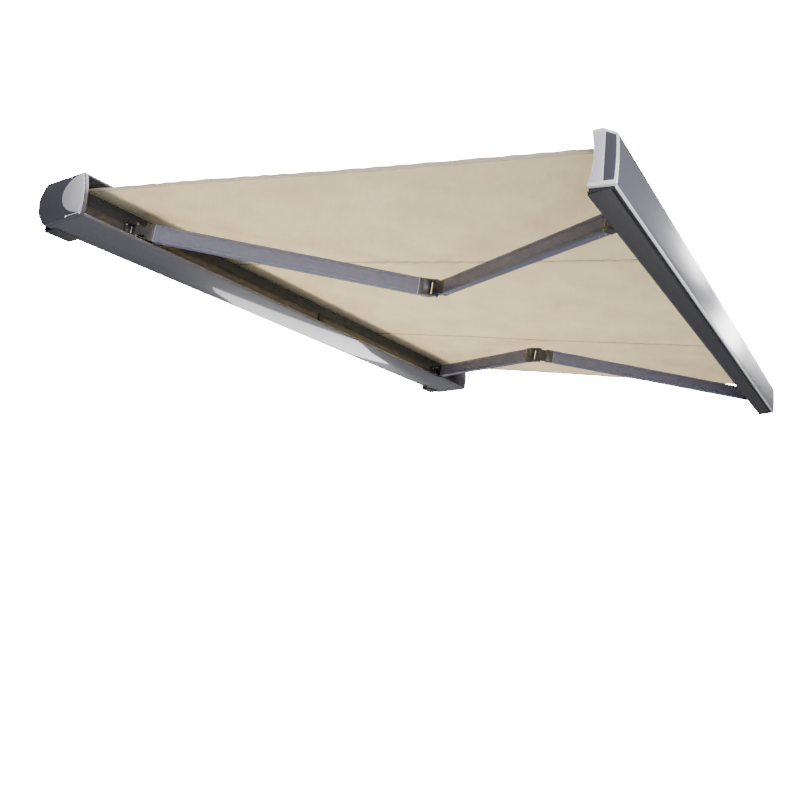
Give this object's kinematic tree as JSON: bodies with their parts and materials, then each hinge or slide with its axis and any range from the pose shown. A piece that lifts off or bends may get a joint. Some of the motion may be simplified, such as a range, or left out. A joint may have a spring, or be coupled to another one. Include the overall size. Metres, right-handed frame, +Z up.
{
  "type": "folding arm awning",
  "caption": "Full-cassette folding arm awning with a cream canopy, jointed spring arms and a front bar that shuts onto the wall cassette.",
  "frame": {"origin": "on the wall plane, midway between the two wall brackets and 1 mm above the cassette's mid height", "axes": "+Z up, -Y out from the wall along the canopy's run, -X the left end seen from behind the canopy's outer edge looking at the wall"},
  "size_m": [4.0048, 2.7009, 0.6836],
  "materials": {
    "slate_powder_coat": "satin powder coat",
    "dark_cap_paint": "satin paint on a casting",
    "silver_trim": "smooth silver paint",
    "polished_trim": "polished",
    "zinc_plated_steel": "bright zinc plate",
    "black_casting": "black satin paint",
    "black_plastic": "moulded, matt",
    "black_rubber": "matt",
    "galvanised_steel": "dull galvanised",
    "cream_canvas": "woven, matt"
  },
  "bodies": {
    "cassette": {"cassette_shell": "slate_powder_coat", "top_cover": "slate_powder_coat", "arm_carrier": "black_casting", "arm_cradle": "black_plastic", "cable_grommet": "black_rubber", "canopy": "cream_canvas", "idler_bracket": "black_casting", "motor_bracket": "black_casting", "motor": "galvanised_steel", "left_end_cap": "dark_cap_paint", "left_end_trim": "silver_trim", "left_wall_bracket": "black_casting", "left_wall_bolt_1": "zinc_plated_steel", "left_wall_bolt_2": "zinc_plated_steel", "left_shoulder_bracket": "black_casting", "left_shoulder_pin": "zinc_plated_steel", "right_end_cap": "dark_cap_paint", "right_end_trim": "silver_trim", "right_wall_bracket": "black_casting", "right_wall_bolt_1": "zinc_plated_steel", "right_wall_bolt_2": "zinc_plated_steel", "right_shoulder_bracket": "black_casting", "right_shoulder_pin": "zinc_plated_steel"},
    "roller": {"roller_tube": "galvanised_steel", "fabric_roll": "cream_canvas", "idler_plug": "black_plastic", "drive_crown": "black_plastic", "motor_ring": "black_plastic"},
    "left_rear_arm": {"left_shoulder_knuckle": "black_casting", "left_rear_arm_tube": "slate_powder_coat", "left_elbow_fork": "slate_powder_coat", "left_elbow_pin": "zinc_plated_steel", "left_arm_spring": "galvanised_steel", "left_arm_cable": "galvanised_steel"},
    "left_forearm": {"left_elbow_tongue": "slate_powder_coat", "left_forearm_tube": "slate_powder_coat", "left_wrist_knuckle": "black_casting"},
    "front_bar": {"front_bar": "slate_powder_coat", "front_bar_top": "slate_powder_coat", "front_bar_floor": "slate_powder_coat", "trim_strip": "polished_trim", "seal_strip": "black_rubber", "canopy_rail": "black_casting", "hem_cord": "black_plastic", "left_bar_cap": "polished_trim", "left_wrist_bracket": "black_casting", "left_wrist_pin": "zinc_plated_steel", "right_bar_cap": "polished_trim", "right_wrist_bracket": "black_casting", "right_wrist_pin": "zinc_plated_steel"},
    "right_rear_arm": {"right_shoulder_knuckle": "black_casting", "right_rear_arm_tube": "slate_powder_coat", "right_elbow_fork": "slate_powder_coat", "right_elbow_pin": "zinc_plated_steel", "right_arm_spring": "galvanised_steel", "right_arm_cable": "galvanised_steel"},
    "right_forearm": {"right_elbow_tongue": "slate_powder_coat", "right_forearm_tube": "slate_powder_coat", "right_wrist_knuckle": "black_casting"}
  },
  "joints": [
    {"name": "fold", "type": "hinge", "parent": "cassette", "child": "left_rear_arm", "pos_m": [-1.62, -0.246, -0.025], "axis": [0, -0.1908, 0.9816], "range_deg": [0, 51.8], "deforming": ["canopy"]},
    {"name": "left_elbow", "type": "hinge", "parent": "left_rear_arm", "child": "left_forearm", "pos_m": [-0.72873, -1.43033, -0.25521], "axis": [0, -0.1908, 0.9816], "range_deg": [-103.6, 0]},
    {"name": "left_wrist", "type": "hinge", "parent": "left_forearm", "child": "front_bar", "pos_m": [-1.62, -2.61467, -0.48542], "axis": [0, -0.1908, 0.9816], "range_deg": [0, 51.8]},
    {"name": "right_shoulder", "type": "hinge", "parent": "cassette", "child": "right_rear_arm", "pos_m": [1.62, -0.246, -0.025], "axis": [0, -0.1908, 0.9816], "range_deg": [-51.8, 0]},
    {"name": "right_elbow", "type": "hinge", "parent": "right_rear_arm", "child": "right_forearm", "pos_m": [0.72873, -1.43033, -0.25521], "axis": [0, -0.1908, 0.9816], "range_deg": [0, 103.6]},
    {"name": "roller_spin", "type": "hinge", "parent": "cassette", "child": "roller", "pos_m": [0, -0.15, 0.052], "axis": [1, 0, 0], "range_deg": [-3300, 0]}
  ],
  "couplings": [
    {"joint": "left_elbow", "follows": "fold", "ratio": -2},
    {"joint": "left_wrist", "follows": "fold", "ratio": 1},
    {"joint": "right_shoulder", "follows": "fold", "ratio": -1},
    {"joint": "right_elbow", "follows": "fold", "ratio": 2},
    {"joint": "roller_spin", "follows": "fold", "ratio": -63.5}
  ]
}
